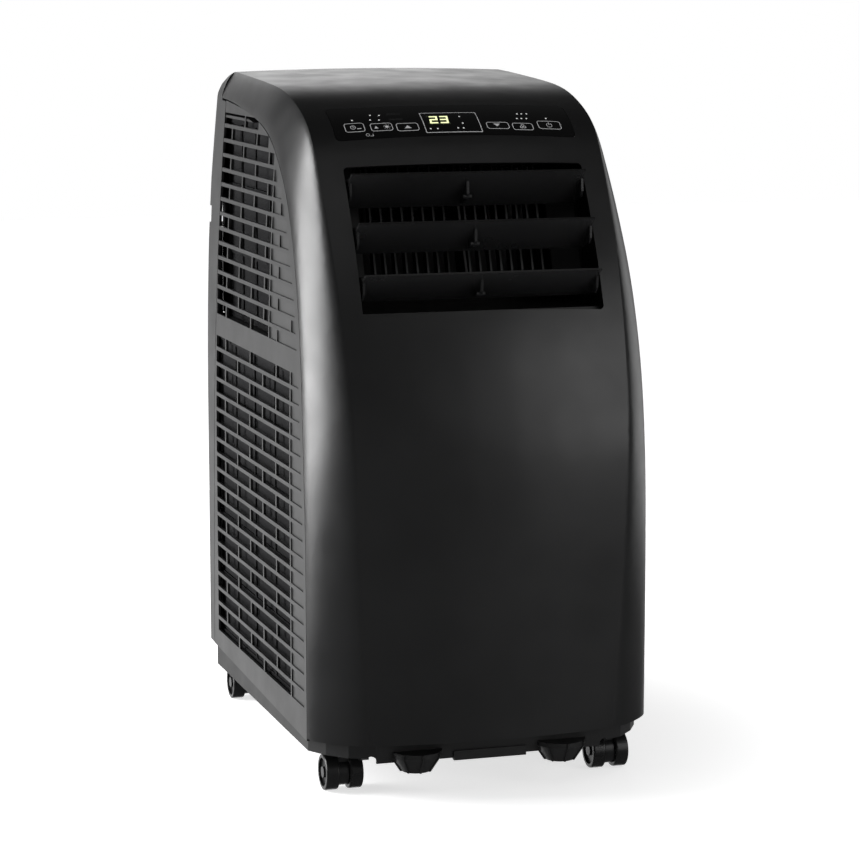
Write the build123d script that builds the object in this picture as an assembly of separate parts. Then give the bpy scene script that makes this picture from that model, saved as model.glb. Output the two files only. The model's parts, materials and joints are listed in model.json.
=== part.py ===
from build123d import *
import math
import os

# Portable air conditioner. Millimetres, +X to the right as seen from the front, +Y to the back, +Z up.
# The origin is on the floor under the middle of the outer box.

# ---------------------------------------------------------------- driving dimensions
FRONT_AXLE_Y = -153.5
AXLE_X = 125.0
REAR_AXLE_BACK = 350.0
WHEEL_R = 16.4
WALL = 2.5
SIDE_HALF_WIDTH = 158.3
SIDE_STRAIGHT_TOP = 260.0
SIDE_ARC_R = 4800.0
CREASE_HALF_WIDTH = 133.6
COVER_BOTTOM = 50.0
COVER_REAR = 337.4
DECK_Z = 378.0
ROW_BAR = 3.6
BRICK_PITCH = 97.5
BRICK_BAR = 3.6
POCKET_DEPTH = 0.9

LOUVRE_LENGTH = 40.0
LOUVRE_TIP_TO_PIVOT = 25.0
LOUVRE_PIVOT_OFFSET = 8.5
LOUVRE_HALF_SPAN = 108.0
LOUVRE_THICKNESS = 2.2
PIVOT_R = 2.5
CRANK_R = 12.0
RUNNING_GAP = 0.06

# Crease between the front face and the cheek: (back from the front axle, height, lean from
# upright in degrees, depth of the cheek, crown of the face ahead of the crease).
STATIONS = [
    (-51.0, 20.0, 0.0, 41.5, 11.0),
    (-51.3, 150.0, 0.0, 41.5, 11.0),
    (-51.8, 250.0, 1.5, 44.3, 11.0),
    (-48.5, 325.0, 8.0, 47.5, 10.5),
    (-32.5, 395.0, 17.0, 43.4, 10.0),
    (-5.6, 465.0, 23.5, 39.6, 9.0),
    (29.0, 530.0, 31.0, 42.0, 8.0),
    (54.9, 568.0, 40.0, 49.0, 6.5),
    (75.5, 585.0, 54.0, 49.0, 5.0),
    (96.3, 595.0, 67.0, 46.5, 4.0),
    (128.0, 605.0, 77.0, 41.0, 3.0),
    (170.0, 612.0, 83.0, 34.5, 2.5),
    (278.0, 618.5, 87.0, 26.0, 2.5),
    (350.0, 621.5, 88.0, 24.5, 2.5),
]

# Outlet opening and control panel on the leaning front: middle point, lean and size.
OUTLET = {"back": 1.27, "z": 486.66, "lean": 24.8, "width": 220.6, "height": 139.5}
PANEL = {"back": 74.4, "z": 579.3, "lean": 56.4, "width": 223.6, "height": 47.6}

# Louvre tips (back from the front axle, height) and how far each blade dips below level.
LOUVRES = {
    "top": (18.0, 543.0, 52.0),
    "middle": (-6.6, 502.3, 46.0),
    "bottom": (-25.5, 458.9, 40.0),
}


def back(distance):
    """Y of a point that lies this far behind the front caster axle."""
    return FRONT_AXLE_Y + distance


def side_x(z):
    """Half-width of the outer side skin at this height."""
    rise = max(0.0, z - SIDE_STRAIGHT_TOP)
    return SIDE_HALF_WIDTH - (SIDE_ARC_R - math.sqrt(SIDE_ARC_R ** 2 - rise ** 2))


def crease_x(z):
    """Half-width of the crease between the front face and the cheek."""
    return CREASE_HALF_WIDTH - 24.6 * max(0.0, 1.0 - z / 620.0) ** 1.4


# ---------------------------------------------------------------- plain shapes
def block(x0, x1, y0, y1, z0, z1):
    middle = Pos((x0 + x1) / 2, (y0 + y1) / 2, (z0 + z1) / 2)
    return middle * Box(x1 - x0, y1 - y0, z1 - z0)


def rod_x(radius, x0, x1, y, z):
    return Pos((x0 + x1) / 2, y, z) * Rot(0, 90, 0) * Cylinder(radius, x1 - x0)


def rod_y(radius, x, y0, y1, z):
    return Pos(x, (y0 + y1) / 2, z) * Rot(90, 0, 0) * Cylinder(radius, y1 - y0)


def rod_z(radius, x, y, z0, z1):
    return Pos(x, y, (z0 + z1) / 2) * Cylinder(radius, z1 - z0)


def side_prism(points, x0, x1):
    """Prism along X over an outline given as (back, z) points."""
    outline = Polyline(*[(back(b), z) for b, z in points], close=True)
    return extrude(Plane.YZ.offset(x0) * make_face(outline), x1 - x0)


def plan_prism(points, z0, z1):
    outline = Polyline(*points, close=True)
    return extrude(Plane.XY.offset(z0) * make_face(outline), z1 - z0)


def mirrored(shape):
    return mirror(shape, about=Plane.YZ)


def leaning_plane(spec):
    """Plane on the front face: local X to the right, local Y up the slope, normal outwards."""
    lean = math.radians(spec["lean"])
    origin = (0, back(spec["back"]), spec["z"])
    return Plane(origin=origin, x_dir=(1, 0, 0), z_dir=(0, -math.cos(lean), math.sin(lean)))


def leaning_prism(spec, width, height, corner, depth_in, depth_out):
    face = RectangleRounded(width, height, corner)
    plane = leaning_plane(spec).offset(-depth_in)
    return extrude(plane * face, depth_in + depth_out)


# ---------------------------------------------------------------- outer casing
def station_plane(station):
    distance, z, lean, _, _ = station
    angle = math.radians(lean)
    return Plane(origin=(0, back(distance), z), x_dir=(1, 0, 0), z_dir=(0, math.sin(angle), math.cos(angle)))


def seam_point(station, extra=0.0):
    """Where the cheek meets the side panel, as (back, z), moved further in by extra."""
    distance, z, lean, depth, _ = station
    angle = math.radians(lean)
    reach = depth + extra
    return (distance + reach * math.cos(angle), z - reach * math.sin(angle))


def cover_section(station, inset):
    """Closed outline of the front cover at one station: crowned face, two cheeks, open back."""
    _, z, lean, depth, crown = station
    seam_z = seam_point(station)[1]
    x_crease = crease_x(z) - inset * 0.6
    x_seam = side_x(seam_z) - inset
    reach = depth + (3.0 * inset)
    width = x_seam - x_crease
    steep = math.sin(math.radians(lean))
    handle_a = (x_crease + 0.28 * width, inset + 0.12 * steep * depth)
    handle_b = (x_seam - 0.05 * width, 0.69 * depth)
    face_arc = ThreePointArc((-x_crease, inset), (0, inset - crown), (x_crease, inset))
    right = Bezier((x_crease, inset), handle_a, handle_b, (x_seam, reach))
    closing = Line((x_seam, reach), (-x_seam, reach))
    left = Bezier(
        (-x_seam, reach),
        (-handle_b[0], handle_b[1]),
        (-handle_a[0], handle_a[1]),
        (-x_crease, inset),
    )
    return station_plane(station) * make_face([face_arc, right, closing, left])


def even_stations(count):
    """The stations again, evenly spaced along the crease with smoothly blended values."""
    along = [0.0]
    for first, second in zip(STATIONS, STATIONS[1:]):
        along.append(along[-1] + math.dist(first[:2], second[:2]))
    slopes = []
    for index in range(len(STATIONS)):
        low = max(0, index - 1)
        high = min(len(STATIONS) - 1, index + 1)
        run = along[high] - along[low]
        slopes.append([(b - a) / run for a, b in zip(STATIONS[low], STATIONS[high])])
    result = []
    for step in range(count):
        place = along[-1] * step / (count - 1)
        index = max(i for i in range(len(along) - 1) if along[i] <= place + 1e-9)
        run = along[index + 1] - along[index]
        t = (place - along[index]) / run
        start, end = STATIONS[index], STATIONS[index + 1]
        blended = []
        for a, b, slope_a, slope_b in zip(start, end, slopes[index], slopes[index + 1]):
            blended.append(
                a * (1 + 2 * t) * (1 - t) ** 2
                + slope_a * run * t * (1 - t) ** 2
                + b * t * t * (3 - 2 * t)
                + slope_b * run * t * t * (t - 1)
            )
        result.append(tuple(blended))
    return result


SECTION_COUNT = 36


def cover_loft(inset):
    sections = [cover_section(station, inset) for station in even_stations(SECTION_COUNT)]
    return loft(sections)


def trimmed_cover_space():
    return block(-170, 170, back(-90), back(COVER_REAR), COVER_BOTTOM, 640)


def make_front_cover(outer, inner):
    shell = (outer - inner) & trimmed_cover_space()
    hole = leaning_prism(OUTLET, OUTLET["width"], OUTLET["height"], 4, 50, 60)
    rim_wall = 2.0
    rim_block = leaning_prism(
        OUTLET, OUTLET["width"] + 2 * rim_wall, OUTLET["height"] + 2 * rim_wall, 5, 1.5, 60
    )
    rim = (rim_block - hole) & outer
    panel_hole = leaning_prism(PANEL, PANEL["width"], PANEL["height"], 5, 14, 30)
    return (shell - hole) + rim - panel_hole


def make_control_panel_lens(outer, inner):
    clearance = 0.35
    plug = leaning_prism(
        PANEL, PANEL["width"] - 2 * clearance, PANEL["height"] - 2 * clearance, 4.7, 14, 30
    )
    return (outer - inner) & plug


def side_skin(inset_outer, thickness):
    """Curved skin of the right side: upright, then leaning in along a large arc."""
    top = 626.0
    middle = (SIDE_STRAIGHT_TOP + top) / 2
    outside = [(side_x(z) - inset_outer, z) for z in (20.0, SIDE_STRAIGHT_TOP, middle, top)]
    inside = [(x - thickness, z) for x, z in outside]
    edges = [
        Line(outside[0], outside[1]),
        ThreePointArc(outside[1], outside[2], outside[3]),
        Line(outside[3], inside[3]),
        ThreePointArc(inside[3], inside[2], inside[1]),
        Line(inside[1], inside[0]),
        Line(inside[0], outside[0]),
    ]
    depth = 470.0
    plane = Plane.XZ.offset(depth / 2)
    return extrude(plane * make_face(edges), -depth)


def panel_rear_edge(z):
    """Back edge of the side panel, as a distance behind the front axle."""
    return 343.0 - (z - 102.0) * 16.0 / 348.0


def panel_bottom_edge(distance):
    return 48.0 + (distance + 9.0) * 11.4 / 372.0


def side_outline_face(extra):
    """Side panel outline in the YZ plane; extra moves the arched edge away from the seam."""
    seam = [seam_point(station, extra) for station in STATIONS[1:]]
    start = (seam[0][0], panel_bottom_edge(seam[0][0]))
    arch = [(seam[0][0], 100.0)] + seam
    arch = [point for point in arch if point[0] < 318.0]
    top_end = (panel_rear_edge(594.0), 594.0 + 24.0 * 0.02)
    arch.append(top_end)
    low_end_b = panel_rear_edge(58.0)
    low_end = (low_end_b, panel_bottom_edge(low_end_b))
    to_world = [(back(b), z) for b, z in arch]
    curve = Spline(*to_world)
    line_a = Line((back(start[0]), start[1]), to_world[0])
    line_b = Line(to_world[-1], (back(low_end[0]), low_end[1]))
    line_c = Line((back(low_end[0]), low_end[1]), (back(start[0]), start[1]))
    return make_face([line_a, curve, line_b, line_c])


def grille_rows():
    """Every intake row as (bottom, top, front limit, whether its bricks are shifted)."""
    rows = []
    lower_start, lower_pitch, lower_count = 74.2, 14.8, 20
    upper_start, upper_pitch, upper_count = 387.6, 14.1, 14
    for index in range(lower_count):
        bottom = lower_start + index * lower_pitch
        rows.append((bottom, bottom + lower_pitch, 45.6, index % 2 == 0))
    for index in range(upper_count):
        bottom = upper_start + index * upper_pitch
        rows.append((bottom, bottom + upper_pitch, 125.0, index % 2 == 1))
    return rows


def arch_limit(z):
    """How far forward an opening may reach at this height without meeting the arched edge."""
    points = [seam_point(station) for station in STATIONS]
    for (b0, z0), (b1, z1) in zip(points, points[1:]):
        if z0 <= z <= z1:
            return b0 + (b1 - b0) * (z - z0) / (z1 - z0)
    return points[-1][0]


def brick_cells(row, front, rear):
    """Bricks of one row between two limits, as rectangles (front, rear, bottom, top)."""
    bottom, top, _, shifted = row
    shortest = 9.0
    first_joint = 45.6 if shifted else 94.3
    joints = [first_joint + BRICK_PITCH * step for step in range(-1, 5)]
    stops = [front] + [joint for joint in joints if front + shortest < joint < rear - 6] + [rear]
    cells = []
    for low, high in zip(stops, stops[1:]):
        low_gap = 0.0 if low == front else BRICK_BAR / 2
        high_gap = 0.0 if high == rear else BRICK_BAR / 2
        if high - low > shortest:
            cells.append((low + low_gap, high - high_gap, bottom + ROW_BAR / 2, top - ROW_BAR / 2))
    return cells


def open_front(row):
    """Where the open bricks of a row begin."""
    bottom, top, front_limit, _ = row
    return max(front_limit, arch_limit((bottom + top) / 2) + 13.0)


def blind_pockets():
    """Shallow pockets that carry the brick pattern on from the open bricks to the seam."""
    pockets = []
    for row in grille_rows():
        bottom, top, _, _ = row
        front = arch_limit(top) + 9.0
        rear = open_front(row) - BRICK_BAR
        if rear - front < 10.0:
            continue
        floor_x = side_x((bottom + top) / 2) - POCKET_DEPTH
        for low, high, z0, z1 in brick_cells(row, front, rear):
            pockets.append(block(floor_x, 170, back(low), back(high), z0, z1))
    return pockets


def grille_cutter(x0, x1):
    plane = Plane.YZ.offset(x0)
    faces = []
    cells = [cell for row in grille_rows() for cell in brick_cells(row, open_front(row), 327.0)]
    for low, high, bottom, top in cells:
        centre = Pos(back((low + high) / 2), (bottom + top) / 2)
        faces.append(plane * centre * RectangleRounded(high - low, top - bottom, 0.8))
    return [extrude(face, x1 - x0) for face in faces]


def filter_rails():
    """Ribs inside the right side panel that guide the top and bottom edge of each filter."""
    ribs = []
    for name in ("lower", "upper"):
        spec = FILTERS[name]
        for z in (spec["z0"] - 0.5 - 2.4, spec["z1"] + 0.5):
            ribs.append(block(spec["x"] - 5.0, 160, back(spec["y0"]), back(spec["y1"] - 14), z, z + 2.4))
    return ribs


FILTERS = {
    "lower": {"x": 150.5, "z0": 72.0, "z1": 369.0, "y0": 42.0, "y1": 362.0},
    "upper": {"x": 138.5, "z0": 386.0, "z1": 578.0, "y0": 120.0, "y1": 356.5},
}
FILTER_THICKNESS = 4.0


def make_right_side_panel():
    skin = side_skin(0.0, WALL)
    outline = extrude(Plane.YZ.offset(120) * side_outline_face(0.9), 50)
    plate = skin & outline
    panel = plate - grille_cutter(130, 170) - blind_pockets()
    inside = side_skin(0.5, 40.0)
    limit = extrude(Plane.YZ.offset(100) * side_outline_face(6.0), 70)
    for rib in filter_rails():
        panel = panel + ((rib & inside) & limit)
    return panel


def front_envelope(inset):
    """Front-view outline of the casing, run from front to back."""
    top_seam_z = 597.0
    x_low = SIDE_HALF_WIDTH - inset
    x_seam = side_x(top_seam_z) - inset
    x_mid = side_x(430.0) - inset
    x_top = CREASE_HALF_WIDTH - inset
    z_top = 620.6 - inset
    z_crown = 622.6 - inset
    right = [
        Line((x_low, 20), (x_low, SIDE_STRAIGHT_TOP)),
        ThreePointArc((x_low, SIDE_STRAIGHT_TOP), (x_mid, 430.0), (x_seam, top_seam_z)),
        Bezier(
            (x_seam, top_seam_z), (x_seam - 0.4, top_seam_z + 7), (x_top + 6, z_top - 1.5), (x_top, z_top)
        ),
    ]
    crown = ThreePointArc((x_top, z_top), (0, z_crown), (-x_top, z_top))
    left = [mirror(edge, about=Plane.YZ) for edge in right]
    base = Line((-x_low, 20), (x_low, 20))
    depth = 480.0
    face = make_face(right + [crown] + left + [base])
    return extrude(Plane.XZ.offset(depth / 2) * face, -depth)


REAR_OUTLINE = [
    (346.0, 59.3), (361.0, 59.8), (368.5, 67.0), (370.0, 110.0), (370.0, 400.0), (366.8, 520.0),
    (358.0, 600.0), (353.5, 609.0), (340.5, 619.6), (338.0, 625.0), (338.0, 594.6), (322.0, 593.4),
]
EXHAUST_Z = 268.0
EXHAUST_R = 66.0
DRAIN_X = 92.0
DRAIN_HEIGHTS = {"upper": 392.0, "lower": 84.0}
GLAND_POS = (-118.0, 122.0)
SCREW_SPOTS = [(x, z) for x in (-132.0, 132.0) for z in (110.0, 372.0, 500.0)]


def make_rear_cover():
    outline = side_prism(REAR_OUTLINE, -165, 165)
    plan = extrude(
        Pos(0, back(370.0) - 60, 40) * RectangleRounded(2 * SIDE_HALF_WIDTH, 120, 9), 600
    )
    solid = (outline & front_envelope(0.0)) & plan
    inner_outline = [
        (300.0, 40.0), (358.5, 40.0), (366.0, 68.0), (367.5, 110.0), (367.5, 400.0), (364.3, 520.0),
        (355.6, 599.5), (351.8, 607.2), (339.6, 616.9), (330.0, 618.0), (300.0, 618.0),
    ]
    cavity = (side_prism(inner_outline, -165, 165) & front_envelope(WALL)) & extrude(
        Pos(0, back(370.0) - 60 - WALL, 30) * RectangleRounded(2 * (SIDE_HALF_WIDTH - WALL), 120, 7), 600
    )
    shell = solid - cavity
    shell = shell - rod_y(EXHAUST_R + 4.0, 0, back(340), back(380), EXHAUST_Z)
    for height in DRAIN_HEIGHTS.values():
        shell = shell - rod_y(9.5, DRAIN_X, back(340), back(380), height)
    shell = shell - rod_y(7.3, GLAND_POS[0], back(340), back(380), GLAND_POS[1])
    for x, z in SCREW_SPOTS:
        shell = shell - rod_y(2.2, x, back(340), back(380), z)
    for spec in FILTERS.values():
        slot_x = spec["x"]
        half = FILTER_THICKNESS / 2 + 0.4
        slot = block(slot_x - half, slot_x + half, back(340), back(380), spec["z0"] - 1, spec["z1"] + 1)
        shell = shell - slot - mirrored(slot)
    for z0, z1 in ((209.0, 235.0), (475.0, 491.0)):
        notch = block(130, 170, back(361.5), back(380), z0, z1)
        shell = shell - notch - mirrored(notch)
    return shell


def make_screws():
    """Rear cover screws and the two washer-head screws at the front of the base."""
    screws = []
    for x, z in SCREW_SPOTS:
        face = back(rear_face(z))
        slot = block(x - 2.6, x + 2.6, face + 1.5, face + 3, z - 0.5, z + 0.5)
        head = rod_y(3.8, x, face + 0.3, face + 2.3, z) - slot
        screws.append(head + rod_y(1.9, x, face - 8.0, face + 0.4, z))
    for side in (-1, 1):
        x = side * 108.4
        y = back(-18.3)
        washer = rod_y(4.1, x, y + 0.6, y + 1.4, 33.2)
        head = rod_y(2.9, x, y - 1.2, y + 0.6, 33.2) - block(x - 2, x + 2, y - 1.3, y - 0.6, 32.8, 33.6)
        screws.append(head + washer + rod_y(1.3, x, y + 1.4, y + 3.6, 33.2))
    return screws


def rear_face(z):
    """Rear plane of the casing, as a distance behind the front axle."""
    if z <= 400.0:
        return 370.0
    if z <= 520.0:
        return 370.0 - 3.2 * (z - 400.0) / 120.0
    return 366.8 - 8.8 * (z - 520.0) / 80.0


# ---------------------------------------------------------------- base and casters
def base_plan(inset):
    x_side = 154.0 - inset
    return [
        (-104 + inset, back(-42) + inset), (104 - inset, back(-42) + inset), (127 - inset, back(-33) + inset),
        (143 - inset, back(-16) + inset), (x_side, back(3)), (x_side, back(352)),
        (x_side - 14, back(366) - inset), (-x_side + 14, back(366) - inset), (-x_side, back(352)),
        (-x_side, back(3)), (-143 + inset, back(-16) + inset), (-127 + inset, back(-33) + inset),
    ]


def stem_spots():
    for y_name, distance in (("front", 0.0), ("rear", REAR_AXLE_BACK)):
        for side_name, side in (("left", -1), ("right", 1)):
            yield f"{y_name}_{side_name}", side * AXLE_X, back(distance)


STEM_TRAIL = 6.0
STEM_R = 4.0
STEM_BORE_R = 4.06
BASE_UNDER = 36.0
BASE_FLOOR = 39.0


def foot_cup(side):
    """Round tapered cup with upright ribs under the front lip of the base."""
    x = side * 67.0
    y = back(-38.0)
    profile = make_face(Polyline((0, 22.4), (13, 22.4), (23, 37), (23, 41), (0, 41), close=True))
    cup = revolve(Plane.XZ * profile, Axis.Z)
    ribs = []
    for index in range(8):
        angle = 360 / 8 * index
        rib = make_face(Polyline((12, 22.4), (14.6, 22.4), (24.4, 37), (24.4, 41), (20, 41), close=True))
        ribs.append(Rot(0, 0, angle) * extrude(Plane.XZ.offset(-0.8) * rib, 1.6))
    return Pos(x, y, 0) * (cup + ribs)


def make_base_pan():
    tray = plan_prism(base_plan(0.0), BASE_UNDER, 62.0)
    hollow = plan_prism(base_plan(3.0), BASE_FLOOR, 70.0)
    pan = tray - hollow
    rim_cut = side_prism(
        [
            (-70, 47.2), (-9, 47.2), (347, panel_bottom_edge(347) - 0.8), (347, 58.4),
            (375, 58.4), (375, 80), (-70, 80),
        ],
        -170, 170,
    )
    pan = pan - rim_cut
    lip = block(-104, 104, back(-42), back(-39), 31.5, BASE_UNDER + 1)
    rib = block(-33.5, 33.5, back(-44), back(-39), 29.5, BASE_UNDER + 2)
    pan = pan + lip + rib
    for side in (-1, 1):
        tab = block(side * 108.4 - 4.6, side * 108.4 + 4.6, back(-16.6), back(-14.4), 28.8, BASE_UNDER + 1)
        pan = pan + tab + foot_cup(side)
        pan = pan - rod_y(1.45, side * 108.4, back(-17), back(-13), 33.2)
        pan = pan - rod_y(4.7, side * 108.4, back(-46), back(-16.6), 33.2)
    for _, x, y in stem_spots():
        stem_y = y + STEM_TRAIL
        pan = pan + rod_z(9.0, x, stem_y, 34.5, 60.0)
        pan = pan - rod_z(STEM_BORE_R, x, stem_y, 30.0, 58.0)
    keep_in = plan_prism(base_plan(0.0), 20.0, 70.0) + foot_cup(-1) + foot_cup(1) + rib
    pan = pan & (keep_in + block(-110, 110, back(-44), back(-38), 29, 50))
    slot = block(-60, 60, back(120), back(320), BASE_UNDER - 1, BASE_FLOOR - 1.2)
    return pan - slot


def make_caster_hood(x, y):
    """Centre web between the two wheels, with a swivel flange and stem on top."""
    half = 4.2
    stem_y = y + STEM_TRAIL
    profile = Plane.YZ.offset(x - half) * (
        Pos(y, WHEEL_R) * Circle(12.7)
        + Pos(y + 1.5, 24.0) * Rectangle(19.0, 17.4)
    )
    web = extrude(profile, 2 * half)
    flange = rod_z(9.0, x, stem_y, 33.1, 34.3)
    neck = rod_z(4.2, x, stem_y, 31.0, 33.4)
    stem = rod_z(STEM_R, x, stem_y, 33.0, 56.5)
    hood = web + neck + flange + stem
    return hood - rod_x(2.0, x - 10, x + 10, y, WHEEL_R)


def make_caster_wheel(x, y, side):
    """One half of the twin wheel: tyre, recessed web and hub around the axle."""
    inner = 4.8
    outer = 16.9
    tyre = rod_x(WHEEL_R, x + side * inner, x + side * outer, y, WHEEL_R) if side > 0 else rod_x(
        WHEEL_R, x - outer, x - inner, y, WHEEL_R)
    tyre = fillet(tyre.edges().filter_by(GeomType.CIRCLE), 1.6)
    low, high = sorted((x + side * (outer - 2.2), x + side * (outer + 1)))
    tyre = tyre - (rod_x(12.6, low, high, y, WHEEL_R) - rod_x(5.0, low - 1, high + 1, y, WHEEL_R))
    low, high = sorted((x + side * (inner - 1), x + side * (inner + 7.0)))
    tyre = tyre - (rod_x(12.8, low, high, y, WHEEL_R) - rod_x(5.2, low - 1, high + 1, y, WHEEL_R))
    low, high = sorted((x + side * 2, x + side * 15.4))
    return tyre - rod_x(2.0 + RUNNING_GAP, low, high, y, WHEEL_R)


def make_casters():
    parts = {}
    for name, x, y in stem_spots():
        parts[f"caster_hood_{name}"] = make_caster_hood(x, y)
        parts[f"caster_axle_{name}"] = rod_x(2.0, x - 14.6, x + 14.6, y, WHEEL_R)
        parts[f"caster_wheel_{name}_outer"] = make_caster_wheel(x, y, 1 if x > 0 else -1)
        parts[f"caster_wheel_{name}_inner"] = make_caster_wheel(x, y, -1 if x > 0 else 1)
    return parts


# ---------------------------------------------------------------- outlet
def louvre_pivot(name):
    """Pivot of a louvre as (back, z): along the blade from its tip, then above the blade."""
    tip_b, tip_z, dip = LOUVRES[name]
    angle = math.radians(dip)
    along, above = LOUVRE_TIP_TO_PIVOT, LOUVRE_PIVOT_OFFSET
    return (
        tip_b + along * math.cos(angle) + above * math.sin(angle),
        tip_z - along * math.sin(angle) + above * math.cos(angle),
    )


def make_louvre(name):
    """Blade with end plates, a centre web, pivot pins and the crank arm of the link."""
    b, z = louvre_pivot(name)
    dip = LOUVRES[name][2]
    tip = -LOUVRE_TIP_TO_PIVOT
    tail = tip + LOUVRE_LENGTH
    low = -LOUVRE_PIVOT_OFFSET
    crest = tip + LOUVRE_LENGTH * 0.45
    bow = ThreePointArc((tip, low), (crest, low + 2.6), (tail, low))
    under = ThreePointArc((tail, low - 1.0), (crest, low + 2.6 - LOUVRE_THICKNESS), (tip, low - 2.0))
    edge_tail = Line((tail, low), (tail, low - 1.0))
    edge_tip = Line((tip, low - 2.0), (tip, low))
    half = LOUVRE_HALF_SPAN
    blade = extrude(Plane.YZ.offset(-half) * make_face([bow, edge_tail, under, edge_tip]), 2 * half)
    plate = make_face(Polyline((-19, low + 1), (-4, 3.5), (4, 3.5), (11, low), close=True))
    for x in (-half, half - 2.0):
        blade = blade + extrude(Plane.YZ.offset(x) * plate, 2.0)
    skin = low - LOUVRE_THICKNESS / 2
    web_points = [
        (tip + 10.5, skin), (tip + 18.5, low - 8.6), (tip + 25.0, low - 9.6), (tip + 37.0, skin + 0.4),
    ]
    web = make_face(Polyline(*web_points, close=True))
    for x in (-half, -1.2, half - 2.0):
        blade = blade + extrude(Plane.YZ.offset(x) * web, 2.4 if x == -1.2 else 2.0)
    blade = blade + rod_x(2.2, -4.0, 4.0, tip + 23.0, low - 7.4)
    turned = Rot(-dip, 0, 0) * blade
    reach = half + 8.6
    pins = rod_x(PIVOT_R, -reach, -half + 1.5, 0, 0) + rod_x(PIVOT_R, half - 1.5, reach, 0, 0)
    bosses = rod_x(4.0, -half - 2.0, -half + 2, 0, 0) + rod_x(4.0, half - 2, half + 1.0, 0, 0)
    arm = block(-half - 2.0, -half, -2.6, CRANK_R + 2.6, -2.6, 2.6)
    crank = arm + rod_x(1.5, -half - 4.6, -half - 1, CRANK_R, 0)
    return Pos(0, back(b), z) * (turned + pins + bosses + crank)


def make_louvre_link():
    """Flat bar that joins the three crank pins."""
    spots = []
    for name in ("top", "middle", "bottom"):
        b, z = louvre_pivot(name)
        spots.append((back(b) + CRANK_R, z))
    x0 = -LOUVRE_HALF_SPAN - 4.4
    link = None
    for (y0, z0), (y1, z1) in zip(spots, spots[1:]):
        length = math.hypot(y1 - y0, z1 - z0)
        angle = math.degrees(math.atan2(z1 - z0, y1 - y0))
        bar = Pos((y0 + y1) / 2, (z0 + z1) / 2) * Rot(0, 0, angle) * Rectangle(length, 5.6)
        solid = extrude(Plane.YZ.offset(x0) * bar, 2.0)
        link = solid if link is None else link + solid
    for y, z in spots:
        link = link + rod_x(3.4, x0, x0 + 2.0, y, z)
    y, z = spots[1]
    link = link - rod_x(1.5 + RUNNING_GAP, x0 - 1, x0 + 3, y, z)
    for y, z in (spots[0], spots[2]):
        link = link - rod_x(1.75, x0 - 1, x0 + 3, y, z)
    return link


DUCT_HALF = 114.0


def make_outlet_duct():
    """Rectangular air channel from the upper scroll to the front opening."""
    front = [(-17, 421), (-4, 455), (11.5, 490), (33.5, 528), (54, 558)]
    duct = side_prism(front + [(92, 558), (92, 421)], -DUCT_HALF - WALL, DUCT_HALF + WALL)
    open_front = [(-40, 424), (-40, 640), (52.5, 555), (89.5, 555), (89.5, 424)]
    duct = duct - side_prism(open_front, -DUCT_HALF, DUCT_HALF)
    low, high = BLOWER_AXIS[1] + 6.0, BLOWER_AXIS[1] + 58.0
    duct = duct - block(-79.5, 59.5, back(80), back(100), low, high)
    for name in LOUVRES:
        b, z = louvre_pivot(name)
        duct = duct - rod_x(PIVOT_R + RUNNING_GAP, -DUCT_HALF - 5, DUCT_HALF + 5, back(b), z)
    return duct


GUARD = {"back": 64.0, "z": 492.0, "lean": 19.0}


def make_outlet_guard():
    """Upright ribs behind the louvres, between two slanted cheeks and on both sides of a divider."""
    half_width = DUCT_HALF - 0.5
    height = 112.0
    half_height = height / 2
    depth = 5.0
    throat = 88.0
    reach = 14.0
    frame = Box(2 * half_width, height, depth) - Box(2 * throat, height - 6, depth + 2)
    cheek_points = [
        (half_width, -depth / 2), (half_width, reach), (half_width - 3, reach), (throat, depth / 2),
        (throat, -depth / 2),
    ]
    cheek_face = Plane.XZ.offset(-half_height) * make_face(Polyline(*cheek_points, close=True))
    cheek = extrude(cheek_face, height)
    rib_pitch = 9.8
    rib_depth = 10.0
    spots = [rib_pitch * index for index in range(-8, 9) if index]
    ribs = [Pos(x, 0, 0) * Box(1.8, height - 4, rib_depth) for x in spots]
    rail = Box(2 * throat + 2, 3.0, depth)
    end = half_height - 2
    divider_points = [(-end, -depth / 2), (-end, 24), (end, reach), (end, -depth / 2)]
    divider = extrude(Plane.YZ.offset(-1.0) * make_face(Polyline(*divider_points, close=True)), 2.0)
    return leaning_plane(GUARD) * (frame + cheek + mirrored(cheek) + ribs + rail + divider)


def make_louvre_motor():
    """Small geared motor whose output sits off the centre of its round body."""
    b, z = louvre_pivot("middle")
    offset_back, offset_down = 7.2, 3.4
    y = back(b)
    x0 = DUCT_HALF + WALL + 0.4
    centre_y = y + offset_back
    centre_z = z - offset_down
    body = rod_x(12.0, x0, x0 + 12.0, centre_y, centre_z)
    ears = block(x0, x0 + 1.2, centre_y - 4, centre_y + 4, centre_z - 18, centre_z + 18)
    return (body + ears) - rod_x(PIVOT_R + 0.3, x0 - 1, x0 + 4, y, z)


# ---------------------------------------------------------------- control electronics
def make_control_board():
    plane = leaning_plane(PANEL).offset(-9.0)
    board = Box(196, 34, 1.6)
    chip_sizes = ((-60, 4, 14, 14), (40, -6, 10, 8), (72, 6, 18, 9))
    chips = [Pos(x, y, -2.2) * Box(w, h, 3.0) for x, y, w, h in chip_sizes]
    pads = [Pos(x, -2, 1.4) * Cylinder(5.0, 1.4) for x in (-85, -65, -42, 42, 63, 86)]
    return plane * (board + chips + pads)


def make_display_module():
    plane = leaning_plane(PANEL).offset(-4.6)
    return plane * (Box(52, 26, 4.4) - Pos(0, 0, 2.4) * Box(46, 20, 1.2))


# ---------------------------------------------------------------- cold half
BLOWER_AXIS = (152.0, 482.0)
BLOWER_R = 48.0


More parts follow.
